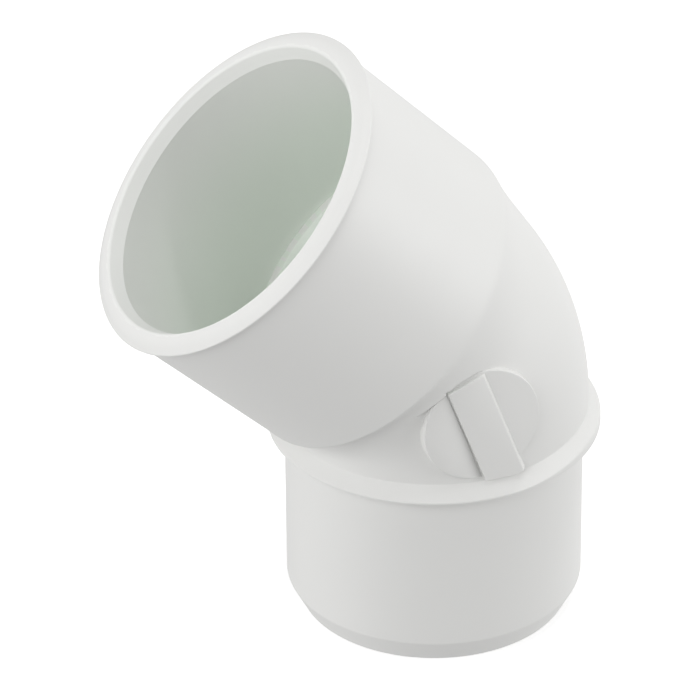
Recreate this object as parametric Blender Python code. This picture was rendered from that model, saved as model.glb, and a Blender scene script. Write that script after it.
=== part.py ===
"""A 45 degree spigot-and-socket elbow for 50 mm drain pipe, moulded in white PVC.

The fitting stands on its spigot, whose axis is vertical. The bend turns towards -X and
ends in a socket that another pipe's end is cemented into. A round marking pad with a
raised bar sits on the -Y side of the bend.

The real elbow is one moulding. Each of its sections is its own closed solid here, and
every section stops JOINT_GAP short of the next one.
"""

import math

import bmesh
import bpy
from mathutils import Matrix, Vector

MM = 0.001

# Spigot, which slides into the next fitting's socket.
PIPE_RADIUS = 25.0 * MM
SPIGOT_LENGTH = 33.6 * MM
SPIGOT_BORE = 21.9 * MM
CHAMFER_HEIGHT = 4.3 * MM
CHAMFER_INSET = 2.25 * MM

# Stop collar, which limits how deep the spigot goes in. A slope rises from its thin edge to
# the tube. Its heights are measured from its flat underside.
COLLAR_RADIUS = 27.9 * MM
COLLAR_THICKNESS = 3.7 * MM
COLLAR_EDGE = 0.5 * MM
COLLAR_SLOPE_TOP = 3.1 * MM
COLLAR_BOTTOM_ROUND = 0.3 * MM

# Bend, a round tube that turns about a level axis.
BEND_ANGLE = math.radians(45)
BEND_RADIUS = 28.5 * MM
TUBE_RADIUS = 25.9 * MM
TUBE_BORE = 22.2 * MM

# Socket. Its distances are measured from the bend's end, along its own axis.
SOCKET_REACH = 38.8 * MM
SOCKET_DEPTH = 33.5 * MM
SOCKET_BORE = 25.05 * MM
SOCKET_BORE_AT_RIM = 25.15 * MM
SOCKET_WALL_AT_BASE = 28.35 * MM
SOCKET_WALL_AT_RIM = 28.75 * MM
LEDGE_BORE = 23.4 * MM
SOCKET_BASE = 4.3 * MM

# Shoulder, the cone that closes the socket onto the bend.
SHOULDER_START = 2.9 * MM
SHOULDER_END = -6.0 * MM
SHOULDER_ANGLE = math.radians(23)
SHOULDER_ROUND = 0.8 * MM

# Rim, the bevelled lip round the socket's mouth.
RIM_HEIGHT = 3.2 * MM
LIP_RADIUS = 29.65 * MM
LIP_FACE_RADIUS = 27.9 * MM
LIP_BEVEL_HEIGHT = 1.15 * MM
LIP_THICKNESS = 1.4 * MM
LIP_ROOT_HEIGHT = 1.9 * MM
LIP_ROUND = 0.6 * MM
LEAD_IN_RADIUS = 26.3 * MM
LEAD_IN_DEPTH = 2.2 * MM

# Marking pad and bar, on the -Y side of the bend. Their faces' distances are from the
# bend's middle plane, and the pad's straight edge is from the bend's end, along the socket.
PAD_RADIUS = 10.1 * MM
PAD_X = -2.4 * MM
PAD_HEIGHT = 47.25 * MM
PAD_FACE = 26.0 * MM
PAD_SUNK = 1.2 * MM
PAD_STRAIGHT_EDGE = -1.65 * MM
PAD_CUTTER_DEPTH = 12.0 * MM
BAR_FACE = 26.9 * MM
BAR_WIDTH = 6.4 * MM
BAR_REACH = 9.1 * MM
BAR_DRAFT = 0.6 * MM
BAR_LEAN = math.radians(20.3)

# Sections that follow each other keep this much air between them.
JOINT_GAP = 0.3 * MM
CORE_LEAD = math.radians(20)
MERGE_DISTANCE = 0.00001

RING_STEPS = 64
BEND_STEPS = 12
PAD_STEPS = 48
ARC_STEPS = 3
EDGE_ANGLE = math.radians(30)

COLLAR_TOP = SPIGOT_LENGTH + COLLAR_THICKNESS
LEDGE = SOCKET_REACH - SOCKET_DEPTH

WHITE = (0.80, 0.80, 0.78)
BARE_ROUGHNESS = 0.35
PAD_ROUGHNESS = 0.45


def clear_scene():
    for obj in list(bpy.data.objects):
        bpy.data.objects.remove(obj, do_unlink=True)


def plastic(name, roughness=BARE_ROUGHNESS):
    """White moulded PVC."""
    made = bpy.data.materials.new(name)
    made.use_nodes = True
    shader = made.node_tree.nodes["Principled BSDF"]
    shader.inputs["Base Color"].default_value = (*WHITE, 1.0)
    shader.inputs["Roughness"].default_value = roughness
    shader.inputs["Metallic"].default_value = 0.0
    return made


def add_object(name, mesh, parent, roughness=BARE_ROUGHNESS):
    obj = bpy.data.objects.new(name, mesh)
    obj.parent = parent
    mesh.materials.append(plastic(name, roughness))
    bpy.context.collection.objects.link(obj)
    return obj


def make_cutter(obj):
    obj.hide_render = True
    obj.display_type = "WIRE"
    return obj


def cut(obj, cutter):
    boolean = obj.modifiers.new("cut by " + cutter.name, "BOOLEAN")
    boolean.operation = "DIFFERENCE"
    boolean.solver = "EXACT"
    boolean.object = cutter


def shade(mesh):
    mesh.shade_smooth()
    mesh.set_sharp_from_angle(angle=EDGE_ANGLE)


def round_corner(before, corner, after, radius):
    """The points of an arc of this radius that replaces a corner of a profile."""
    corner = Vector(corner)
    back = (Vector(before) - corner).normalized()
    ahead = (Vector(after) - corner).normalized()
    half = back.angle(ahead) / 2
    centre = corner + (back + ahead).normalized() * radius / math.sin(half)
    start = corner + back * radius / math.tan(half) - centre
    turn = start.angle_signed(corner + ahead * radius / math.tan(half) - centre)
    points = []
    for step in range(ARC_STEPS + 1):
        spoke = start.copy()
        spoke.rotate(Matrix.Rotation(-turn * step / ARC_STEPS, 2))
        points.append(tuple(centre + spoke))
    return points


def turn_profile(name, profile, parent, steps=RING_STEPS):
    """A closed (radius, height) profile turned about Z. It runs down its outer side."""
    mesh = bpy.data.meshes.new(name)
    vertices = [(radius, 0.0, height) for radius, height in profile]
    edges = [(i, (i + 1) % len(profile)) for i in range(len(profile))]
    mesh.from_pydata(vertices, edges, [])
    obj = add_object(name, mesh, parent)
    screw = obj.modifiers.new("turn", "SCREW")
    screw.angle = math.tau
    screw.steps = steps
    screw.render_steps = steps
    screw.use_merge_vertices = True
    screw.merge_threshold = MERGE_DISTANCE
    screw.use_smooth_shade = True
    return obj


def sweep_bend(name, bore, outer, start, end, parent):
    """A tube, or a solid bar where bore is zero, swept along the bend's centreline."""
    bm = bmesh.new()
    bmesh.ops.create_circle(bm, segments=RING_STEPS, radius=outer, cap_ends=bore == 0)
    if bore:
        bmesh.ops.create_circle(bm, segments=RING_STEPS, radius=bore)
        bmesh.ops.bridge_loops(bm, edges=bm.edges[:])
    pivot = Vector((-BEND_RADIUS, 0.0, COLLAR_TOP))
    to_start = Matrix.Rotation(start, 3, (0.0, -1.0, 0.0))
    bmesh.ops.translate(bm, vec=(0.0, 0.0, COLLAR_TOP), verts=bm.verts)
    bmesh.ops.rotate(bm, cent=pivot, matrix=to_start, verts=bm.verts)
    bmesh.ops.spin(
        bm,
        geom=bm.faces[:],
        cent=pivot,
        axis=(0.0, -1.0, 0.0),
        angle=end - start,
        steps=BEND_STEPS,
    )
    bmesh.ops.recalc_face_normals(bm, faces=bm.faces)
    mesh = bpy.data.meshes.new(name)
    bm.to_mesh(mesh)
    bm.free()
    shade(mesh)
    return add_object(name, mesh, parent)


def bend_end():
    """Where the bend's centreline ends, in the spigot's frame."""
    across = -BEND_RADIUS * (1 - math.cos(BEND_ANGLE))
    up = COLLAR_TOP + BEND_RADIUS * math.sin(BEND_ANGLE)
    return Vector((across, 0.0, up))


def half_overhang():
    """How far the spigot's axis stands from the middle of the fitting's length."""
    reach = max(
        height * math.sin(BEND_ANGLE) + radius * math.cos(BEND_ANGLE)
        for radius, height in rim_profile()
    )
    return (reach - bend_end().x - COLLAR_RADIUS) / 2


def add_frames():
    """Empties on the spigot's axis and at the bend's end, facing along the socket."""
    spigot_frame = bpy.data.objects.new("spigot_frame", None)
    spigot_frame.location.x = half_overhang()
    socket_frame = bpy.data.objects.new("socket_frame", None)
    socket_frame.parent = spigot_frame
    socket_frame.location = bend_end()
    socket_frame.rotation_euler.y = -BEND_ANGLE
    for frame in (spigot_frame, socket_frame):
        bpy.context.collection.objects.link(frame)
    return spigot_frame, socket_frame


def add_spigot(frame):
    top = SPIGOT_LENGTH - JOINT_GAP
    profile = [
        (PIPE_RADIUS, top),
        (PIPE_RADIUS, CHAMFER_HEIGHT),
        (PIPE_RADIUS - CHAMFER_INSET, 0.0),
        (SPIGOT_BORE, 0.0),
        (SPIGOT_BORE, top),
    ]
    turn_profile("spigot", profile, frame)


def add_collar(frame):
    inner_bottom = (SPIGOT_BORE, SPIGOT_LENGTH)
    inner_top = (TUBE_BORE, COLLAR_TOP - JOINT_GAP)
    outer_bottom = (COLLAR_RADIUS, SPIGOT_LENGTH)
    outer_top = (COLLAR_RADIUS, SPIGOT_LENGTH + COLLAR_EDGE)
    neck_foot = (TUBE_RADIUS, SPIGOT_LENGTH + COLLAR_SLOPE_TOP)
    neck = (TUBE_RADIUS, COLLAR_TOP - JOINT_GAP)
    profile = [
        neck,
        neck_foot,
        outer_top,
        *round_corner(outer_top, outer_bottom, inner_bottom, COLLAR_BOTTOM_ROUND),
        inner_bottom,
        inner_top,
    ]
    turn_profile("stop_collar", profile, frame)


def bend_core(name, radius, frame):
    """A solid bar along the bend, longer than it at its lower end, to cut others with."""
    return make_cutter(sweep_bend(name, 0, radius, -CORE_LEAD, BEND_ANGLE, frame))


def add_bend(frame):
    """The curved tube, with a shallow pocket in its -Y side that the pad sits in."""
    gap_angle = JOINT_GAP / BEND_RADIUS
    bend = sweep_bend("bend", TUBE_BORE, TUBE_RADIUS, 0.0, BEND_ANGLE - gap_angle, frame)
    pocket = make_cutter(pad_block("pad_pocket", JOINT_GAP, COLLAR_TOP - JOINT_GAP, frame))
    cut(pocket, bend_core("pocket_floor", TUBE_RADIUS - PAD_SUNK - JOINT_GAP, frame))
    cut(bend, pocket)


def shoulder_radius(height):
    """Radius of the shoulder's cone at a height along the socket."""
    return SOCKET_WALL_AT_BASE - (SHOULDER_START - height) * math.tan(SHOULDER_ANGLE)


def add_shoulder(frame, spigot_frame):
    """The socket's closed end: the cone onto the bend, and a countersunk ledge inside."""
    outer_top = (SOCKET_WALL_AT_BASE, SOCKET_BASE)
    edge = (SOCKET_WALL_AT_BASE, SHOULDER_START)
    outer_bottom = (shoulder_radius(SHOULDER_END), SHOULDER_END)
    profile = [
        outer_top,
        *round_corner(outer_top, edge, outer_bottom, SHOULDER_ROUND),
        outer_bottom,
        (TUBE_BORE, SHOULDER_END),
        (TUBE_BORE, LEDGE - (LEDGE_BORE - TUBE_BORE)),
        (LEDGE_BORE, LEDGE),
        (SOCKET_BORE - JOINT_GAP, LEDGE),
        (SOCKET_BORE - JOINT_GAP, SOCKET_BASE),
    ]
    shoulder = turn_profile("socket_shoulder", profile, frame)
    cut(shoulder, bend_core("bend_clearance", TUBE_RADIUS + JOINT_GAP, spigot_frame))


def add_shoulder_clearance(frame):
    """A solid one gap larger than the shoulder, that the marking is cut with."""
    gap = JOINT_GAP / math.cos(SHOULDER_ANGLE)
    profile = [
        (0.0, SOCKET_REACH),
        (shoulder_radius(SHOULDER_START) + gap, SOCKET_REACH),
        (shoulder_radius(SHOULDER_START) + gap, SHOULDER_START),
        (shoulder_radius(SHOULDER_END) + gap, SHOULDER_END),
        (0.0, SHOULDER_END),
    ]
    return make_cutter(turn_profile("shoulder_clearance", profile, frame))


def add_socket(frame):
    """The wall that the pipe slides into. It stands round the stop ledge, not on it."""
    bottom = SOCKET_BASE + JOINT_GAP
    top = SOCKET_REACH - RIM_HEIGHT - JOINT_GAP
    profile = [
        (SOCKET_WALL_AT_RIM, top),
        (SOCKET_WALL_AT_BASE, bottom),
        (SOCKET_BORE, bottom),
        (SOCKET_BORE_AT_RIM, top),
    ]
    turn_profile("socket", profile, frame)


def rim_profile():
    """The rim's section, as (radius, distance from the bend's end)."""
    bottom = SOCKET_REACH - RIM_HEIGHT
    lead_in = (LEAD_IN_RADIUS, SOCKET_REACH)
    face_edge = (LIP_FACE_RADIUS, SOCKET_REACH)
    lip_top = (LIP_RADIUS, SOCKET_REACH - LIP_BEVEL_HEIGHT)
    lip_bottom = (LIP_RADIUS, SOCKET_REACH - LIP_THICKNESS)
    return [
        lead_in,
        *round_corner(lead_in, face_edge, lip_top, LIP_ROUND),
        lip_top,
        lip_bottom,
        (SOCKET_WALL_AT_RIM, SOCKET_REACH - LIP_ROOT_HEIGHT),
        (SOCKET_WALL_AT_RIM, bottom),
        (SOCKET_BORE_AT_RIM, bottom),
        (SOCKET_BORE_AT_RIM, SOCKET_REACH - LEAD_IN_DEPTH),
    ]


def add_rim(frame):
    turn_profile("socket_rim", rim_profile(), frame)


def trim(bm, point, normal):
    """Cut a closed mesh off flat, keeping the side that the normal points away from."""
    everything = bm.verts[:] + bm.edges[:] + bm.faces[:]
    made = bmesh.ops.bisect_plane(
        bm, geom=everything, plane_co=point, plane_no=normal, clear_outer=True
    )
    loop = [item for item in made["geom_cut"] if isinstance(item, bmesh.types.BMEdge)]
    bmesh.ops.edgeloop_fill(bm, edges=loop)
    bmesh.ops.recalc_face_normals(bm, faces=bm.faces)


def pad_block(name, allowance, lowest, frame):
    """The pad's round block, trimmed straight at the shoulder and at a lowest height."""
    bm = bmesh.new()
    bmesh.ops.create_cone(
        bm,
        cap_ends=True,
        segments=PAD_STEPS,
        radius1=PAD_RADIUS + allowance,
        radius2=PAD_RADIUS + allowance,
        depth=PAD_CUTTER_DEPTH,
    )
    facing = Matrix.Rotation(math.radians(90), 3, "X")
    middle = PAD_CUTTER_DEPTH / 2 - PAD_FACE - 2 * allowance
    bmesh.ops.rotate(bm, cent=(0, 0, 0), matrix=facing, verts=bm.verts)
    bmesh.ops.translate(bm, vec=(PAD_X, middle, PAD_HEIGHT), verts=bm.verts)
    along_socket = Vector((-math.sin(BEND_ANGLE), 0.0, math.cos(BEND_ANGLE)))
    edge = bend_end() + along_socket * (PAD_STRAIGHT_EDGE + allowance)
    trim(bm, edge, along_socket)
    trim(bm, Vector((0.0, 0.0, lowest)), Vector((0.0, 0.0, -1.0)))
    mesh = bpy.data.meshes.new(name)
    bm.to_mesh(mesh)
    bm.free()
    shade(mesh)
    return add_object(name, mesh, frame, PAD_ROUGHNESS)


def add_pad(frame, shoulder_clearance):
    """The flat round pad. Its back follows the bend's curve inside the pocket."""
    pad = pad_block("marking_pad", 0.0, COLLAR_TOP + JOINT_GAP, frame)
    cut(pad, bend_core("pad_back", TUBE_RADIUS - PAD_SUNK, frame))
    cut(pad, shoulder_clearance)


def add_bar(frame, shoulder_clearance):
    """A raised bar across the pad and down to the collar, leaning with the bend."""
    back = PAD_FACE + JOINT_GAP
    foot_width = BAR_WIDTH + 2 * BAR_DRAFT
    length = BAR_REACH + PAD_HEIGHT
    bm = bmesh.new()
    bmesh.ops.create_cube(bm, size=1.0)
    size = Matrix.Diagonal((foot_width, length, BAR_FACE - back, 1.0))
    bmesh.ops.transform(bm, matrix=size, verts=bm.verts)
    face = [vertex for vertex in bm.verts if vertex.co.z > 0]
    narrowing = Matrix.Diagonal((BAR_WIDTH / foot_width, 1.0, 1.0, 1.0))
    bmesh.ops.transform(bm, matrix=narrowing, verts=face)
    bmesh.ops.translate(bm, vec=(0.0, BAR_REACH - length / 2, 0.0), verts=bm.verts)
    lean = Matrix.Rotation(math.radians(90), 4, "X") @ Matrix.Rotation(BAR_LEAN, 4, "Z")
    middle = Matrix.Translation((PAD_X, -(back + BAR_FACE) / 2, PAD_HEIGHT))
    bmesh.ops.transform(bm, matrix=middle @ lean, verts=bm.verts)
    trim(bm, Vector((0.0, 0.0, COLLAR_TOP + JOINT_GAP)), Vector((0.0, 0.0, -1.0)))
    mesh = bpy.data.meshes.new("marking_bar")
    bm.to_mesh(mesh)
    bm.free()
    bar = add_object("marking_bar", mesh, frame, PAD_ROUGHNESS)
    cut(bar, shoulder_clearance)


def build():
    clear_scene()
    spigot_frame, socket_frame = add_frames()
    add_spigot(spigot_frame)
    add_collar(spigot_frame)
    add_bend(spigot_frame)
    add_shoulder(socket_frame, spigot_frame)
    add_socket(socket_frame)
    add_rim(socket_frame)
    shoulder_clearance = add_shoulder_clearance(socket_frame)
    add_pad(spigot_frame, shoulder_clearance)
    add_bar(spigot_frame, shoulder_clearance)


build()
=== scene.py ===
"""The looks of a white PVC 45 degree drain elbow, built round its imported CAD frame.

Every CAD section is replaced by a finely modelled piece. The real elbow is one moulding, so
the pieces meet without gaps, and their seams lie on its own edges. Lengths are in metres, and
the pieces are built in the frame of the spigot or of the socket, whose Z axes run along them.
"""

import math

import bmesh
import bpy
from mathutils import Matrix, Vector

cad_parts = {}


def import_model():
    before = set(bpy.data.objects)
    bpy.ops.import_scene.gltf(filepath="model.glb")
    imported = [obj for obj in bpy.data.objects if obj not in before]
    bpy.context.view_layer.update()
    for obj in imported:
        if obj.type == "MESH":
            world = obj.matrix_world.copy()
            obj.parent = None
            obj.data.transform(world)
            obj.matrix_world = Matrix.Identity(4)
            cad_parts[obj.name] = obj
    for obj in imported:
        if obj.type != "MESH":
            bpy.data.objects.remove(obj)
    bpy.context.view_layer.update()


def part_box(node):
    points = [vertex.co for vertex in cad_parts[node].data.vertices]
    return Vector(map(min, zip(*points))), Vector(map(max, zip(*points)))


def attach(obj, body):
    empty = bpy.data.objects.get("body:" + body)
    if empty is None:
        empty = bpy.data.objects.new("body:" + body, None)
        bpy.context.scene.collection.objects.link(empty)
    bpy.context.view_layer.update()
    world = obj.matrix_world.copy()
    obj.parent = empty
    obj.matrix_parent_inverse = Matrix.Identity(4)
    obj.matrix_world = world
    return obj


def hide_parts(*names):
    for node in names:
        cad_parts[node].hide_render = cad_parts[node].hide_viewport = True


MM = 0.001
BODY = "root"

# Sizes of the sections. They follow the CAD model, but the bar stands a little less proud.
PIPE_RADIUS = 25.0 * MM
SPIGOT_BORE = 21.9 * MM
CHAMFER_HEIGHT = 4.3 * MM
CHAMFER_INSET = 2.25 * MM
COLLAR_BOTTOM = 33.6 * MM
COLLAR_TOP = 37.3 * MM
COLLAR_RADIUS = 27.9 * MM
BEND_ANGLE = math.radians(45)
BEND_RADIUS = 28.5 * MM
TUBE_RADIUS = 25.9 * MM
TUBE_BORE = 22.2 * MM
SOCKET_REACH = 38.8 * MM
LEDGE_HEIGHT = 5.3 * MM
LEDGE_BORE = 23.4 * MM
SOCKET_BORE = 25.05 * MM
SOCKET_BORE_AT_RIM = 25.15 * MM
SOCKET_WALL_AT_BASE = 28.35 * MM
SOCKET_WALL_AT_RIM = 28.75 * MM
SHOULDER_START = 2.9 * MM
SHOULDER_ANGLE = math.radians(23)
LIP_RADIUS = 29.65 * MM
LIP_FACE_RADIUS = 27.9 * MM
LIP_BEVEL_HEIGHT = 1.15 * MM
LIP_THICKNESS = 1.4 * MM
LIP_ROOT_HEIGHT = 1.9 * MM
LEAD_IN_RADIUS = 26.3 * MM
LEAD_IN_DEPTH = 2.2 * MM
PAD_RADIUS = 10.1 * MM
PAD_X = -2.4 * MM
PAD_HEIGHT = 47.25 * MM
PAD_FACE = 26.0 * MM
PAD_STRAIGHT_EDGE = -1.65 * MM
BAR_FACE = 26.65 * MM
BAR_WIDTH = 6.4 * MM
BAR_REACH = 9.1 * MM
BAR_DROP = 12.1 * MM
BAR_FOOT = 36.7 * MM
BAR_DRAFT = 0.6 * MM
BAR_DRAFT_END = -0.2 * MM
BAR_LEAN = math.radians(20.3)

# Edge finish of the moulding, which the CAD model leaves plain.
CHAMFER_ROUND = 0.9 * MM
END_ROUND = 0.25 * MM
LEDGE_ROUND = 0.2 * MM
LIP_FACE_ROUND = 3.5 * MM
LIP_EDGE_ROUND = 0.28 * MM
LIP_BACK_ROUND = 0.15 * MM
LEAD_IN_ROUND = 0.6 * MM
PAD_ROUND = 0.2 * MM
BAR_ROUND = 0.2 * MM

# The collar has a thin edge and a low slope in front, and a thicker, rounder edge and a
# higher slope on the bend's outer side.
THIN_EDGE = 0.4 * MM
THICK_EDGE = 1.8 * MM
THIN_EDGE_ROUND = 0.15 * MM
THICK_EDGE_ROUND = 1.3 * MM
COLLAR_UNDER_ROUND = 0.15 * MM
LOW_SLOPE_TOP = 36.4 * MM
HIGH_SLOPE_TOP = 37.1 * MM
SLOPE_CORNER_ROUND = 0.3 * MM
THICK_UNTIL = math.radians(40)
THIN_FROM = math.radians(85)

# The shoulder is a soft cone on the bend's outer side and a hollow cove on its throat side.
# Its skirt runs down into the bend, and in the throat it ends inside the collar.
CONE_EDGE_ROUND = 0.5 * MM
COVE_EDGE_ROUND = 0.15 * MM
CONE_BLEND = 2.5 * MM
COVE_BLEND = 1.2 * MM
COVE_END = 0.2 * MM
CONE_UNTIL = math.radians(75)
COVE_FROM = math.radians(112)
SHOULDER_TOP = SHOULDER_START + 1.0 * MM
SKIRT_OVERLAP = 0.9 * MM
SKIRT_DEPTH = 9.0 * MM
SKIRT_SINK = 1.2 * MM
BLEND_END = 0.98

# Hollows round the marking: a slot along the bar, and a groove against the shoulder. The
# groove's ends are measured across the pad from the bend's centreline.
SLOT_HALF_WIDTH = 0.3 * MM
SLOT_DEPTH = 0.5 * MM
GROOVE_WIDTH = 0.5 * MM
GROOVE_DEPTH = 1.1 * MM
GROOVE_START = 9.4 * MM
GROOVE_END = 2.0 * MM
GROOVE_FAR_END = 3.4 * MM

# The pad's body reaches into the bend's wall. Cutters reach well past what they cut.
PAD_BODY = 8.0 * MM
PAD_SINK = 1.0 * MM
PAD_CLEARANCE = 0.1 * MM
CUTTER_REACH = 8.0 * MM
BAR_CUTTER_SPARE = 1.0 * MM
CORE_SPARE = math.radians(20)

RING_STEPS = 256
BEND_STEPS = 48
ARC_STEPS = 6
SKIRT_STEPS = 40
BEVEL_STEPS = 3
HALVINGS = 30
SEARCH_STEP = 1.0 * MM
SEARCH_REACH = 1.2 * TUBE_RADIUS
SHARP_ANGLE = math.radians(32)

# White PVC: its colours, how rough it is, and the scales of its mottle, gloss and grain.
SKIN_COLOUR = (0.79, 0.79, 0.775)
SKIN_ROUGHNESS = 0.48
# The bore is the same PVC. Near the socket's mouth it is painted lighter than the skin, as
# painted light, and deeper in it turns darker and greener, as painted shade.
BORE_PAINTED_LIGHT_COLOUR = (0.825, 0.83, 0.81)
BORE_ROUGHNESS = 0.45
BORE_PAINTED_SHADE_COLOUR = (0.75, 0.80, 0.74)
INSERT_COLOUR = (0.785, 0.785, 0.77)
INSERT_ROUGHNESS = 0.55
PVC_IOR = 1.53
MOTTLE_SCALE = 45.0
MOTTLE_DARKEST = 0.985
GLOSS_SCALE = 130.0
GLOSS_SMOOTHER = 0.05
GLOSS_ROUGHER = 0.07
GRAIN_SCALE = 900.0
GRAIN_STRENGTH = 0.12
GRAIN_HEIGHT = 0.04 * MM

# Depth in the socket by which the bore's colour has turned fully to its painted shade, darker
# and greener.
BORE_SHADE_DEPTH = 26.0 * MM

# Camera, aimed at a point of the spigot's axis.
VIEW_AZIMUTH = math.radians(-21.758)
VIEW_ELEVATION = math.radians(31.027)
VIEW_ROLL = math.radians(-0.534)
VIEW_DISTANCE = 880.0 * MM
VIEW_HEIGHT = 40.0 * MM
VIEW_SHIFT_RIGHT = -13.967 * MM
VIEW_SHIFT_UP = 5.5 * MM
LENS = 271.29
CLIP_START = 0.05
CLIP_END = 20.0

# Stage. The floor glows a little, like a light table.
FLOOR_GLOW = 0.35
FLOOR_COLOUR = (0.9, 0.9, 0.9, 1.0)
FLOOR_ROUGHNESS = 0.9
FLOOR_HALF_SIZE = 4.0
FLOOR_DROP = 0.02 * MM

# Soft boxes: a name, an azimuth and an elevation in degrees, and a power in watts. Azimuth 0
# is the -Y side and 90 the +X side.
LIGHTS = [
    ("key_left", -45.0, 30.0, 5.6),
    ("side_left", -75.0, 30.0, 3.0),
    ("low_left", -90.0, 10.0, 2.0),
    ("side_right", 56.0, 12.0, 7.0),
    ("overhead", 0.0, 88.0, 4.6),
]
LIGHT_DISTANCE = 1.5
LIGHT_SIZE = 0.8
LIGHT_AIM = 0.05

# A small lamp above, on the right and a little behind, which draws the rim's faint shadow.
LAMP_AZIMUTH = 110.0
LAMP_ELEVATION = 67.0
LAMP_POWER = 1.9
LAMP_SIZE = 0.12

# Glow of the white tent round the stage: a direction, how narrow the glow is, its strength.
TENT = [
    ((0.0, 0.0, -1.0), 1.0, 0.27),
    ((0.0, 1.0, 0.0), 1.0, 0.42),
    ((1.0, 0.0, 0.0), 3.0, 0.65),
    ((-1.0, 0.0, 0.0), 3.0, 0.42),
]


# ---------------------------------------------------------------- frames and meshes


def spigot_frame():
    """The spigot's axis, with the floor at height 0, as a matrix."""
    low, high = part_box("spigot")
    return Matrix.Translation(((low.x + high.x) / 2, 0.0, 0.0))


def bend_end():
    """Where the bend's centreline ends, in the spigot's frame."""
    across = -BEND_RADIUS * (1 - math.cos(BEND_ANGLE))
    up = COLLAR_TOP + BEND_RADIUS * math.sin(BEND_ANGLE)
    return Vector((across, 0.0, up))


def socket_frame():
    """The bend's end, with Z along the socket towards its mouth, as a matrix."""
    turn = Matrix.Rotation(-BEND_ANGLE, 4, "Y")
    return spigot_frame() @ Matrix.Translation(bend_end()) @ turn


def finish_mesh(name, bm, frame, weighted=True):
    """A smooth-shaded object from a bmesh, with its vertices already in the world's frame."""
    bmesh.ops.recalc_face_normals(bm, faces=bm.faces)
    bmesh.ops.transform(bm, matrix=frame, verts=bm.verts)
    mesh = bpy.data.meshes.new(name)
    bm.to_mesh(mesh)
    bm.free()
    mesh.shade_smooth()
    mesh.set_sharp_from_angle(angle=SHARP_ANGLE)
    obj = bpy.data.objects.new(name, mesh)
    bpy.context.collection.objects.link(obj)
    if weighted:
        normals = obj.modifiers.new("even normals", "WEIGHTED_NORMAL")
        normals.keep_sharp = True
    return obj


def wrap_rings(rings):
    """A bmesh skin over rings of points, closed round each ring and from last to first."""
    bm = bmesh.new()
    skins = [[bm.verts.new(point) for point in ring] for ring in rings]
    for here, ahead in zip(skins, skins[1:] + skins[:1]):
        for i in range(len(here)):
            j = (i + 1) % len(here)
            bm.faces.new((here[i], here[j], ahead[j], ahead[i]))
    return bm


def revolve(name, section, frame):
    """A closed body round a frame's Z axis. section(angle) gives (radius, height) points."""
    angles = [math.tau * i / RING_STEPS for i in range(RING_STEPS)]
    columns = [section(angle) for angle in angles]
    rings = []
    for row in zip(*columns):
        ring = []
        for angle, (radius, height) in zip(angles, row):
            ring.append((radius * math.cos(angle), radius * math.sin(angle), height))
        rings.append(ring)
    return finish_mesh(name, wrap_rings(rings), frame)


def soften(points):
    """A closed section's points, where a third value rounds that corner to its radius."""
    made = []
    count = len(points)
    for i, point in enumerate(points):
        corner = Vector(point[:2])
        if len(point) < 3:
            made.append(tuple(corner))
            continue
        back = (Vector(points[i - 1][:2]) - corner).normalized()
        ahead = (Vector(points[(i + 1) % count][:2]) - corner).normalized()
        half = back.angle(ahead) / 2
        centre = corner + (back + ahead).normalized() * point[2] / math.sin(half)
        start = corner + back * point[2] / math.tan(half) - centre
        end = corner + ahead * point[2] / math.tan(half) - centre
        turn = start.angle_signed(end)
        for step in range(ARC_STEPS + 1):
            spoke = start.copy()
            spoke.rotate(Matrix.Rotation(-turn * step / ARC_STEPS, 2))
            made.append(tuple(centre + spoke))
    return made


def smooth_max(a, b, width):
    """The larger of two numbers, blended where they are less than a width apart."""
    near = max(width - abs(a - b), 0.0)
    return max(a, b) + near * near / (4 * width)


def smooth_min(a, b, width):
    return -smooth_max(-a, -b, width)


def mix(a, b, share):
    return a + (b - a) * share


def ease(value, low, high):
    """A smooth rise from 0 at low to 1 at high."""
    share = min(max((value - low) / (high - low), 0.0), 1.0)
    return share * share * (3 - 2 * share)


def away_from_outside(angle):
    """The angle between a direction round the axis and the bend's outer side."""
    return abs((angle + math.pi) % math.tau - math.pi)


def solve(inside, low, high):
    """Where a test stops holding between low, where it holds, and high."""
    for _ in range(HALVINGS):
        middle = (low + high) / 2
        if inside(middle):
            low = middle
        else:
            high = middle
    return low


def outside_bend(point):
    """How far a point of the spigot's frame is outside the bend's outer surface."""
    from_pivot = math.hypot(point.x + BEND_RADIUS, point.z - COLLAR_TOP)
    return math.hypot(from_pivot - BEND_RADIUS, point.y) - TUBE_RADIUS


# ---------------------------------------------------------------- moulded sections


def add_spigot(frame):
    """The plain barrel, with a chamfer that leads it into the next socket."""
    profile = soften(
        [
            (PIPE_RADIUS, COLLAR_BOTTOM),
            (PIPE_RADIUS, CHAMFER_HEIGHT, CHAMFER_ROUND),
            (PIPE_RADIUS - CHAMFER_INSET, 0.0, END_ROUND),
            (SPIGOT_BORE, 0.0, END_ROUND),
            (SPIGOT_BORE, COLLAR_BOTTOM),
        ]
    )
    return revolve("spigot_barrel", lambda angle: profile, frame)


def add_collar(frame):
    """The stop collar: an edge, and a slope that rises from it to the bend."""

    def section(angle):
        thin = ease(away_from_outside(angle), THICK_UNTIL, THIN_FROM)
        edge_top = COLLAR_BOTTOM + mix(THICK_EDGE, THIN_EDGE, thin)
        slope_top = mix(HIGH_SLOPE_TOP, LOW_SLOPE_TOP, thin)
        return soften(
            [
                (PIPE_RADIUS, COLLAR_BOTTOM),
                (COLLAR_RADIUS, COLLAR_BOTTOM, COLLAR_UNDER_ROUND),
                (COLLAR_RADIUS, edge_top, mix(THICK_EDGE_ROUND, THIN_EDGE_ROUND, thin)),
                (TUBE_RADIUS, slope_top, SLOPE_CORNER_ROUND),
                (TUBE_RADIUS, COLLAR_TOP),
                (TUBE_BORE, COLLAR_TOP),
                (SPIGOT_BORE, COLLAR_BOTTOM),
            ]
        )

    return revolve("collar_ring", section, frame)


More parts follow.
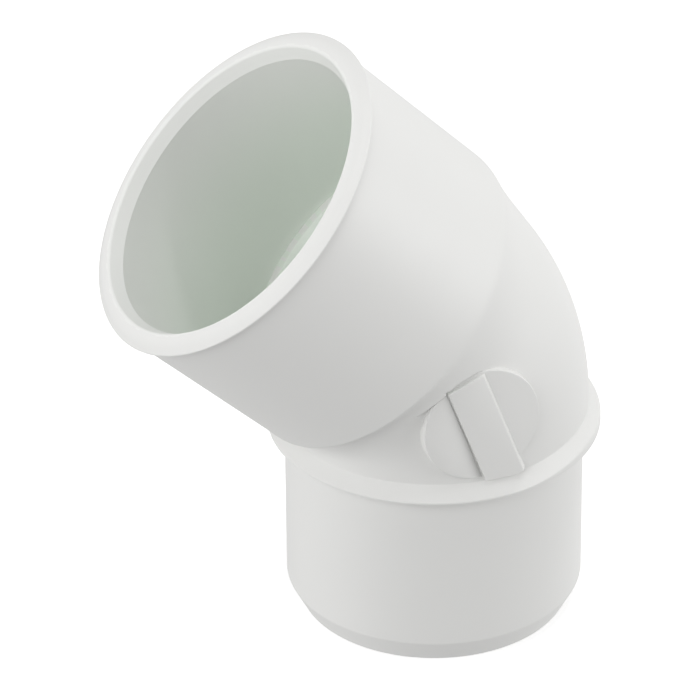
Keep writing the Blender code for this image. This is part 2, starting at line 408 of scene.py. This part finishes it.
def bend_ring(turn, radius):
    """Points round the bend's centreline, at an angle along it."""
    ring = []
    for i in range(RING_STEPS):
        angle = math.tau * i / RING_STEPS
        from_pivot = BEND_RADIUS + radius * math.cos(angle)
        x = from_pivot * math.cos(turn) - BEND_RADIUS
        z = from_pivot * math.sin(turn) + COLLAR_TOP
        ring.append((x, radius * math.sin(angle), z))
    return ring


def add_bend(frame):
    """The curved tube between the collar and the socket."""
    turns = [BEND_ANGLE * i / BEND_STEPS for i in range(BEND_STEPS + 1)]
    stations = [(turn, TUBE_RADIUS) for turn in turns]
    stations += [(turn, TUBE_BORE) for turn in reversed(turns)]
    rings = [bend_ring(turn, radius) for turn, radius in stations]
    return finish_mesh("bend_tube", wrap_rings(rings), frame)


def cove_share(angle):
    """How much of the shoulder is cove at an angle round the socket, from 0 to 1."""
    return ease(away_from_outside(angle), CONE_UNTIL, COVE_FROM)


def tube_reach(origin, direction):
    """How far the bend's outer surface is from a point inside it, or None where far off."""

    def inside(distance):
        return outside_bend(origin + direction * distance) < 0

    distance = 0.0
    while inside(distance):
        distance += SEARCH_STEP
        if distance > SEARCH_REACH:
            return None
    return solve(inside, distance - SEARCH_STEP, distance)


def shoulder_radius(height, share):
    """The shoulder's own radius: the socket's wall, its edge, then the cone or the cove."""
    down = SHOULDER_START - height
    cone = SOCKET_WALL_AT_BASE - down * math.tan(SHOULDER_ANGLE)
    travel = min(max(down / (SHOULDER_START - COVE_END), 0.0), 1.0)
    cove = SOCKET_WALL_AT_BASE + (TUBE_RADIUS - SOCKET_WALL_AT_BASE) * travel * (2 - travel)
    if down < 0:
        cove = SOCKET_WALL_AT_BASE - down
    edge = mix(CONE_EDGE_ROUND, COVE_EDGE_ROUND, share)
    return smooth_min(SOCKET_WALL_AT_BASE, mix(cone, cove, share), edge)


def add_shoulder(frame):
    """The socket's closed end. Its foot flows into the bend, and the stop ledge is inside."""
    to_spigot = Matrix.Translation(bend_end()) @ Matrix.Rotation(-BEND_ANGLE, 4, "Y")

    def section(angle):
        outward = to_spigot.to_3x3() @ Vector((math.cos(angle), math.sin(angle), 0.0))
        share = cove_share(angle)
        blend = mix(CONE_BLEND, COVE_BLEND, share)

        def skin(height):
            """The blended radius at a height, and whether the shoulder still shows there."""
            centre = to_spigot @ Vector((0.0, 0.0, height))
            own = shoulder_radius(height, share)
            reach = TUBE_RADIUS if height > 0 else tube_reach(centre, outward)
            if reach is None:
                return own, False
            blended = smooth_max(own, reach, blend)
            above_collar = (centre + outward * blended).z > LOW_SLOPE_TOP - SKIRT_OVERLAP
            return blended, above_collar and reach - own < BLEND_END * blend

        foot = solve(lambda down: skin(-down)[1], 0.0, SKIRT_DEPTH)
        outer = []
        for step in range(SKIRT_STEPS + 1):
            height = mix(SHOULDER_TOP, -foot, step / SKIRT_STEPS)
            outer.append((skin(height)[0], height))
        buried = min(outer[-1][0], TUBE_RADIUS) - SKIRT_SINK
        funnel = LEDGE_BORE - TUBE_BORE
        ledge = soften(
            [
                (TUBE_BORE, 0.0),
                (TUBE_BORE, LEDGE_HEIGHT - funnel, 2 * LEDGE_ROUND),
                (LEDGE_BORE, LEDGE_HEIGHT, LEDGE_ROUND),
                (SOCKET_BORE, LEDGE_HEIGHT),
            ]
        )
        return outer + [(buried, -foot)] + ledge

    return revolve("shoulder_cone", section, frame)


def add_socket(frame):
    """The socket's wall, slightly thicker towards the mouth."""
    profile = [
        (SOCKET_WALL_AT_RIM, SOCKET_REACH - LIP_ROOT_HEIGHT),
        (SOCKET_WALL_AT_BASE, SHOULDER_TOP),
        (SOCKET_BORE, LEDGE_HEIGHT),
        (SOCKET_BORE_AT_RIM, SOCKET_REACH - LEAD_IN_DEPTH),
    ]
    return revolve("socket_wall", lambda angle: profile, frame)


def add_rim(frame):
    """The mouth's rim: a lip that rolls over outside, and a lead-in inside."""
    profile = soften(
        [
            (LEAD_IN_RADIUS, SOCKET_REACH, LEAD_IN_ROUND),
            (LIP_FACE_RADIUS, SOCKET_REACH, LIP_FACE_ROUND),
            (LIP_RADIUS, SOCKET_REACH - LIP_BEVEL_HEIGHT, LIP_EDGE_ROUND),
            (LIP_RADIUS, SOCKET_REACH - LIP_THICKNESS, LIP_BACK_ROUND),
            (SOCKET_WALL_AT_RIM, SOCKET_REACH - LIP_ROOT_HEIGHT),
            (SOCKET_BORE_AT_RIM, SOCKET_REACH - LEAD_IN_DEPTH),
        ]
    )
    return revolve("mouth_rim", lambda angle: profile, frame)


# ---------------------------------------------------------------- marking pad and bar


def cut(obj, cutter):
    """Take one solid out of another for good."""
    boolean = obj.modifiers.new("cut", "BOOLEAN")
    boolean.operation = "DIFFERENCE"
    boolean.solver = "EXACT"
    boolean.object = cutter
    graph = bpy.context.evaluated_depsgraph_get()
    baked = bpy.data.meshes.new_from_object(obj.evaluated_get(graph))
    obj.modifiers.clear()
    obj.data = baked
    baked.set_sharp_from_angle(angle=SHARP_ANGLE)
    bpy.data.objects.remove(cutter, do_unlink=True)


def bend_core(radius, frame):
    """A solid bar along the bend, longer than it at both ends."""
    bm = bmesh.new()
    rings = []
    for step in range(BEND_STEPS + 1):
        turn = -CORE_SPARE + (BEND_ANGLE + 2 * CORE_SPARE) * step / BEND_STEPS
        rings.append([bm.verts.new(point) for point in bend_ring(turn, radius)])
    for here, ahead in zip(rings, rings[1:]):
        for i in range(RING_STEPS):
            j = (i + 1) % RING_STEPS
            bm.faces.new((here[i], here[j], ahead[j], ahead[i]))
    bm.faces.new(rings[0])
    bm.faces.new(rings[-1])
    return finish_mesh("bend_core", bm, frame, weighted=False)


def along_socket():
    """The socket's direction, in the spigot's frame."""
    return Vector((-math.sin(BEND_ANGLE), 0.0, math.cos(BEND_ANGLE)))


def pad_outline():
    """The pad's outline in the XZ plane: a circle, cut straight beside the shoulder."""
    along = along_socket()
    edge = (bend_end() + along * PAD_STRAIGHT_EDGE).dot(along)
    points = []
    for i in range(RING_STEPS):
        angle = math.tau * i / RING_STEPS
        x = PAD_X + PAD_RADIUS * math.cos(angle)
        z = PAD_HEIGHT + PAD_RADIUS * math.sin(angle)
        beyond = Vector((x, 0.0, z)).dot(along) - edge
        if beyond > 0:
            x -= along.x * beyond
            z -= along.z * beyond
        points.append((x, z))
    return points


def bevel_edges(bm, edges, width):
    bmesh.ops.bevel(
        bm,
        geom=edges,
        offset=width,
        offset_type="OFFSET",
        segments=BEVEL_STEPS,
        profile=0.5,
        affect="EDGES",
        clamp_overlap=True,
    )


def prism(outline, near, far):
    """A block along Y over an XZ outline, as a bmesh and the edges of its near end."""
    bm = bmesh.new()
    face = bm.faces.new([bm.verts.new((x, near, z)) for x, z in outline])
    edges = list(face.edges)
    extruded = bmesh.ops.extrude_face_region(bm, geom=[face], use_keep_orig=True)
    back = [item for item in extruded["geom"] if isinstance(item, bmesh.types.BMVert)]
    bmesh.ops.translate(bm, vec=(0.0, far - near, 0.0), verts=back)
    return bm, edges


def add_pad(frame):
    """The flat pad, with a narrow slot along the bar's left side."""
    bm, edges = prism(pad_outline(), -PAD_FACE, PAD_BODY - PAD_FACE)
    bevel_edges(bm, edges, PAD_ROUND)
    pad = finish_mesh("pad_face", bm, frame)
    cut(pad, bend_core(TUBE_RADIUS - PAD_SINK, frame))
    left = -BAR_WIDTH / 2
    slot = [
        (left - SLOT_HALF_WIDTH, -2 * PAD_RADIUS),
        (left + SLOT_HALF_WIDTH, -2 * PAD_RADIUS),
        (left + SLOT_HALF_WIDTH, 2 * PAD_RADIUS),
        (left - SLOT_HALF_WIDTH, 2 * PAD_RADIUS),
    ]
    cut(pad, bar_block("slot", slot, -SLOT_DEPTH, SLOT_DEPTH, frame))
    return pad


def bar_frame(frame):
    """The middle of the pad's face, with Y along the bar and Z out of the face."""
    lean = Matrix.Rotation(BAR_LEAN, 4, "Z")
    facing = Matrix.Rotation(math.radians(90), 4, "X")
    return frame @ Matrix.Translation((PAD_X, -PAD_FACE, PAD_HEIGHT)) @ facing @ lean


def block(low, high):
    """A closed block between two outlines with the same number of corners, as a bmesh."""
    bm = bmesh.new()
    bottom = [bm.verts.new(point) for point in low]
    top = [bm.verts.new(point) for point in high]
    bm.faces.new(bottom)
    bm.faces.new(top)
    for i in range(len(bottom)):
        j = (i + 1) % len(bottom)
        bm.faces.new((bottom[i], bottom[j], top[j], top[i]))
    return bm


def bar_block(name, outline, low, high, frame):
    """A straight-sided block over an outline across and along the bar."""
    bm = block([(x, y, low) for x, y in outline], [(x, y, high) for x, y in outline])
    return finish_mesh(name, bm, bar_frame(frame), weighted=False)


def add_bar(frame):
    """The raised bar across the pad, upright on its left side and drafted on its right."""
    height = BAR_FACE - PAD_FACE
    half = BAR_WIDTH / 2
    section = [
        (-half, -SLOT_DEPTH),
        (-half, height),
        (half, height),
        (half + BAR_DRAFT, BAR_DRAFT_END),
        (half + BAR_DRAFT, -SLOT_DEPTH),
    ]
    bm = block([(x, -BAR_DROP, z) for x, z in section], [(x, BAR_REACH, z) for x, z in section])
    upper = [e for e in bm.edges if any(v.co.z > height / 2 for v in e.verts)]
    bevel_edges(bm, upper, BAR_ROUND)
    bar = finish_mesh("raised_bar", bm, bar_frame(frame))
    side = 2 * PAD_RADIUS
    below = [(-side, 0.0), (side, 0.0), (side, BAR_FOOT), (-side, BAR_FOOT)]
    under_bar, _ = prism(below, -BAR_FACE - BAR_CUTTER_SPARE, 0.0)
    cut(bar, finish_mesh("under_bar", under_bar, frame, weighted=False))
    return bar


def clear_marking(shoulder, frame):
    """Cut the shoulder back over the pad, and sink a groove between the two."""
    out = -PAD_FACE - CUTTER_REACH
    over_pad, _ = prism(pad_outline(), -PAD_FACE + PAD_CLEARANCE, out)
    cut(shoulder, finish_mesh("over_pad", over_pad, frame, weighted=False))
    half = BAR_WIDTH / 2
    end = [
        (-half - SLOT_HALF_WIDTH, 0.0),
        (half + BAR_DRAFT, 0.0),
        (half + BAR_DRAFT, BAR_REACH),
        (-half - SLOT_HALF_WIDTH, BAR_REACH + GROOVE_WIDTH),
    ]
    cut(shoulder, bar_block("over_bar", end, -GROOVE_DEPTH, CUTTER_REACH, frame))
    across = Vector((math.cos(BEND_ANGLE), 0.0, math.sin(BEND_ANGLE)))
    near = bend_end() + along_socket() * (PAD_STRAIGHT_EDGE - GROOVE_WIDTH)
    far = near + along_socket() * (2 * GROOVE_WIDTH)
    corners = [
        near - across * GROOVE_START,
        near - across * GROOVE_END,
        far - across * GROOVE_FAR_END - along_socket() * GROOVE_WIDTH,
        far - across * GROOVE_START,
    ]
    groove, _ = prism([(p.x, p.z) for p in corners], -PAD_FACE + GROOVE_DEPTH, out)
    cut(shoulder, finish_mesh("groove", groove, frame, weighted=False))


# ---------------------------------------------------------------- materials


def add_node(tree, kind, place, **values):
    node = tree.nodes.new(kind)
    node.location = place
    for key, value in values.items():
        node.inputs[key.replace("_", " ")].default_value = value
    return node


def math_node(tree, operation, *values):
    """A Math node fed with sockets or plain numbers, as its output socket."""
    node = tree.nodes.new("ShaderNodeMath")
    node.operation = operation
    for socket, value in zip(node.inputs, values):
        if isinstance(value, bpy.types.NodeSocket):
            tree.links.new(value, socket)
        else:
            socket.default_value = value
    return node.outputs["Value"]


def mix_colours(tree, factor, first, second):
    """A Mix node between a colour socket and a fixed colour, as its output socket."""
    node = tree.nodes.new("ShaderNodeMix")
    node.data_type = "RGBA"
    inputs = {socket.identifier: socket for socket in node.inputs}
    outputs = {socket.identifier: socket for socket in node.outputs}
    tree.links.new(factor, inputs["Factor_Float"])
    tree.links.new(first, inputs["A_Color"])
    inputs["B_Color"].default_value = second
    return outputs["Result_Color"]


def pvc(name, colour, roughness):
    """White moulded PVC: a faint mottle in colour and gloss, and a softly uneven skin."""
    made = bpy.data.materials.new(name)
    made.use_nodes = True
    tree = made.node_tree
    shader = tree.nodes["Principled BSDF"]
    shader.inputs["IOR"].default_value = PVC_IOR
    link = tree.links.new
    where = add_node(tree, "ShaderNodeTexCoord", (-1200, 0))

    mottle = add_node(tree, "ShaderNodeTexNoise", (-900, 250), Scale=MOTTLE_SCALE, Detail=4.0)
    link(where.outputs["Object"], mottle.inputs["Vector"])
    tint = tree.nodes.new("ShaderNodeValToRGB")
    tint.location = (-600, 250)
    tint.color_ramp.elements[0].position = 0.3
    tint.color_ramp.elements[1].position = 0.7
    tint.color_ramp.elements[0].color = (*[c * MOTTLE_DARKEST for c in colour], 1.0)
    tint.color_ramp.elements[1].color = (*colour, 1.0)
    link(mottle.outputs["Fac"], tint.inputs["Fac"])
    link(tint.outputs["Color"], shader.inputs["Base Color"])

    gloss = add_node(tree, "ShaderNodeTexNoise", (-900, -50), Scale=GLOSS_SCALE, Detail=5.0)
    link(where.outputs["Object"], gloss.inputs["Vector"])
    spread = tree.nodes.new("ShaderNodeMapRange")
    spread.location = (-600, -50)
    spread.inputs["To Min"].default_value = roughness - GLOSS_SMOOTHER
    spread.inputs["To Max"].default_value = roughness + GLOSS_ROUGHER
    link(gloss.outputs["Fac"], spread.inputs["Value"])
    link(spread.outputs["Result"], shader.inputs["Roughness"])

    grain = add_node(tree, "ShaderNodeTexNoise", (-900, -350), Scale=GRAIN_SCALE, Detail=3.0)
    link(where.outputs["Object"], grain.inputs["Vector"])
    relief = add_node(tree, "ShaderNodeBump", (-400, -350))
    relief.inputs["Strength"].default_value = GRAIN_STRENGTH
    relief.inputs["Distance"].default_value = GRAIN_HEIGHT
    link(grain.outputs["Fac"], relief.inputs["Height"])
    link(relief.outputs["Normal"], shader.inputs["Normal"])
    return made


def paint_bore_shade(material, colour):
    """Blend a material towards a colour with the depth below the socket's mouth, as painted
    shade.
    """
    tree = material.node_tree
    shader = tree.nodes["Principled BSDF"]
    mouth = spigot_frame() @ (bend_end() + along_socket() * SOCKET_REACH)
    where = tree.nodes.new("ShaderNodeTexCoord")
    below = tree.nodes.new("ShaderNodeVectorMath")
    below.operation = "DOT_PRODUCT"
    below.inputs[1].default_value = -along_socket()
    tree.links.new(where.outputs["Object"], below.inputs[0])
    depth = tree.nodes.new("ShaderNodeMapRange")
    depth.interpolation_type = "SMOOTHSTEP"
    depth.inputs["From Min"].default_value = -mouth.dot(along_socket())
    depth.inputs["From Max"].default_value = BORE_SHADE_DEPTH - mouth.dot(along_socket())
    tree.links.new(below.outputs["Value"], depth.inputs["Value"])
    surface = shader.inputs["Base Color"].links[0].from_socket
    blend = mix_colours(tree, depth.outputs["Result"], surface, (*colour, 1.0))
    tree.links.new(blend, shader.inputs["Base Color"])


def nearest_centre(point):
    """The point of the fitting's centreline beside a point of the spigot's frame."""
    if point.z <= COLLAR_TOP:
        return Vector((0.0, 0.0, point.z))
    turn = math.atan2(point.z - COLLAR_TOP, point.x + BEND_RADIUS)
    if turn < BEND_ANGLE:
        x = BEND_RADIUS * (math.cos(turn) - 1)
        return Vector((x, 0.0, COLLAR_TOP + BEND_RADIUS * math.sin(turn)))
    along = along_socket()
    return bend_end() + along * (point - bend_end()).dot(along)


def give_bore_painted_light(obj, material):
    """Give the faces that look at the centreline the bore's material: painted lighter near the
    mouth, painted shade deeper in.
    """
    obj.data.materials.append(material)
    to_spigot = spigot_frame().inverted()
    for face in obj.data.polygons:
        point = to_spigot @ face.center
        if face.normal.dot(point - nearest_centre(point)) < 0:
            face.material_index = 1


def show(obj, node, material):
    """Put a piece in place of a CAD node."""
    obj.data.materials.clear()
    obj.data.materials.append(material)
    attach(obj, BODY)
    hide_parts(node)


# ---------------------------------------------------------------- stage


def floor_material():
    """A pale floor that glows a little, like a light table, so that shadows stay faint."""
    made = bpy.data.materials.new("pale_floor")
    made.use_nodes = True
    shader = made.node_tree.nodes["Principled BSDF"]
    shader.inputs["Base Color"].default_value = FLOOR_COLOUR
    shader.inputs["Roughness"].default_value = FLOOR_ROUGHNESS
    shader.inputs["Emission Color"].default_value = (1.0, 1.0, 1.0, 1.0)
    shader.inputs["Emission Strength"].default_value = FLOOR_GLOW
    return made


def add_floor():
    """The floor, which neither lights nor shades the fitting."""
    bm = bmesh.new()
    bmesh.ops.create_grid(bm, x_segments=2, y_segments=2, size=FLOOR_HALF_SIZE)
    mesh = bpy.data.meshes.new("floor")
    bm.to_mesh(mesh)
    bm.free()
    floor = bpy.data.objects.new("floor", mesh)
    floor.location.z = -FLOOR_DROP
    bpy.context.collection.objects.link(floor)
    mesh.materials.append(floor_material())
    floor.visible_diffuse = False
    floor.visible_glossy = False
    floor.visible_shadow = False


def add_light(name, azimuth, elevation, power, size=LIGHT_SIZE):
    """A square soft box that faces the middle of the fitting."""
    a = math.radians(azimuth)
    e = math.radians(elevation)
    away = Vector((math.sin(a) * math.cos(e), -math.cos(a) * math.cos(e), math.sin(e)))
    data = bpy.data.lights.new(name, "AREA")
    data.size = size
    data.energy = power
    lamp = bpy.data.objects.new(name, data)
    lamp.location = away * LIGHT_DISTANCE + Vector((0.0, 0.0, LIGHT_AIM))
    lamp.rotation_mode = "QUATERNION"
    lamp.rotation_quaternion = away.to_track_quat("Z", "Y")
    bpy.context.collection.objects.link(lamp)


def add_tent():
    """White fabric all round, brighter towards some sides."""
    world = bpy.data.worlds.new("studio")
    world.use_nodes = True
    tree = world.node_tree
    facing = tree.nodes.new("ShaderNodeTexCoord")
    total = None
    for direction, narrowness, strength in TENT:
        dot = tree.nodes.new("ShaderNodeVectorMath")
        dot.operation = "DOT_PRODUCT"
        dot.inputs[1].default_value = direction
        tree.links.new(facing.outputs["Generated"], dot.inputs[0])
        glow = math_node(tree, "MULTIPLY_ADD", dot.outputs["Value"], 0.5, 0.5)
        glow = math_node(tree, "POWER", glow, narrowness)
        glow = math_node(tree, "MULTIPLY", glow, strength)
        total = glow if total is None else math_node(tree, "ADD", total, glow)
    background = tree.nodes["Background"]
    background.inputs["Color"].default_value = (1.0, 1.0, 1.0, 1.0)
    tree.links.new(total, background.inputs["Strength"])
    bpy.context.scene.world = world


def add_camera(frame):
    """The camera, turned a little about its own view and shifted in the image plane."""
    across = math.cos(VIEW_ELEVATION)
    back = Vector(
        (
            math.sin(VIEW_AZIMUTH) * across,
            -math.cos(VIEW_AZIMUTH) * across,
            math.sin(VIEW_ELEVATION),
        )
    )
    level = Vector((math.cos(VIEW_AZIMUTH), math.sin(VIEW_AZIMUTH), 0.0))
    turn = Matrix.Rotation(VIEW_ROLL, 3, back)
    right = turn @ level
    up = back.cross(right)
    place = frame @ Vector((0.0, 0.0, VIEW_HEIGHT))
    place += right * VIEW_SHIFT_RIGHT + up * VIEW_SHIFT_UP + back * VIEW_DISTANCE
    data = bpy.data.cameras.new("camera")
    data.lens = LENS
    data.clip_start = CLIP_START
    data.clip_end = CLIP_END
    camera = bpy.data.objects.new("camera", data)
    matrix = Matrix((right, up, back)).transposed().to_4x4()
    matrix.translation = place
    camera.matrix_world = matrix
    bpy.context.collection.objects.link(camera)
    bpy.context.scene.camera = camera


# ---------------------------------------------------------------- the scene


def build():
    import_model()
    upright = spigot_frame()
    slanted = socket_frame()
    skin = pvc("pvc_skin", SKIN_COLOUR, SKIN_ROUGHNESS)
    # The bore's material is painted lighter near the mouth, and painted shade, darker and
    # greener, deeper in.
    bore_light_and_shade = pvc("pvc_bore_painted_light_and_shade", BORE_PAINTED_LIGHT_COLOUR, BORE_ROUGHNESS)
    paint_bore_shade(bore_light_and_shade, BORE_PAINTED_SHADE_COLOUR)
    insert = pvc("pvc_insert", INSERT_COLOUR, INSERT_ROUGHNESS)
    moulded = {
        "spigot": add_spigot(upright),
        "stop_collar": add_collar(upright),
        "bend": add_bend(upright),
        "socket_shoulder": add_shoulder(slanted),
        "socket": add_socket(slanted),
        "socket_rim": add_rim(slanted),
    }
    clear_marking(moulded["socket_shoulder"], upright)
    for node, piece in moulded.items():
        show(piece, node, skin)
        give_bore_painted_light(piece, bore_light_and_shade)
    show(add_pad(upright), "marking_pad", insert)
    show(add_bar(upright), "marking_bar", insert)
    add_floor()
    add_tent()
    for light in LIGHTS:
        add_light(*light)
    add_light("small_lamp", LAMP_AZIMUTH, LAMP_ELEVATION, LAMP_POWER, LAMP_SIZE)
    add_camera(upright)
    bpy.context.scene.view_settings.view_transform = "Standard"


build()
